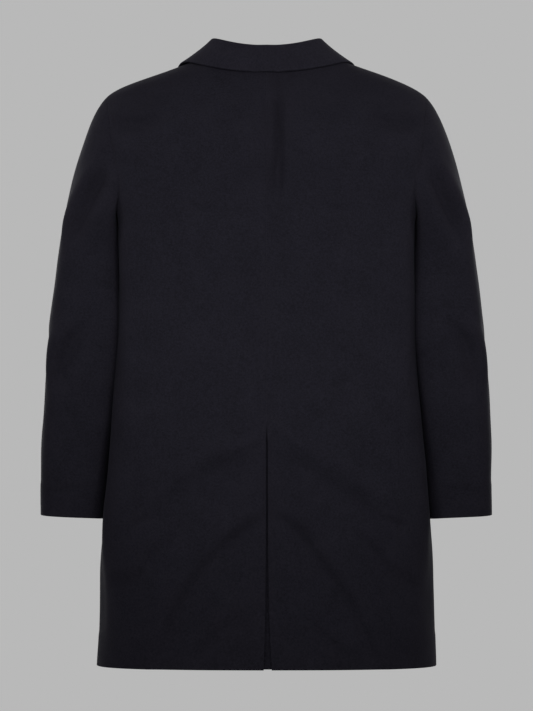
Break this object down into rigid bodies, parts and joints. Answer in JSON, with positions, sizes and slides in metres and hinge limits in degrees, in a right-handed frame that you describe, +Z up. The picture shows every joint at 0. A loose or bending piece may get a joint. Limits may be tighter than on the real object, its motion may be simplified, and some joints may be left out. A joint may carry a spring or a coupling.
{
  "type": "coat",
  "caption": "Three-quarter-length tailored wool overcoat, hollow as if worn, with a turned-down collar, lapels, set-in sleeves and a centre-back vent.",
  "frame": {"origin": "midway between the two points where the shoulder seams meet the collar, where the wearer's shoulders carry the coat", "axes": "+X to the wearer's right, +Y to the wearer's front, +Z up"},
  "size_m": [0.6772, 0.2774, 0.9379],
  "materials": {
    "wool": "matt, softly napped wool",
    "horn": "satin"
  },
  "bodies": {
    "root": {"back_right": "wool", "back_left": "wool", "side_right": "wool", "side_left": "wool", "front_right": "wool", "front_left": "wool", "lapel_right": "wool", "lapel_left": "wool", "sleeve_upper_right": "wool", "sleeve_upper_left": "wool", "sleeve_under_right": "wool", "sleeve_under_left": "wool", "vent_underlap": "wool", "collar": "wool", "button_1": "horn", "button_2": "horn", "button_3": "horn"}
  },
  "joints": []
}
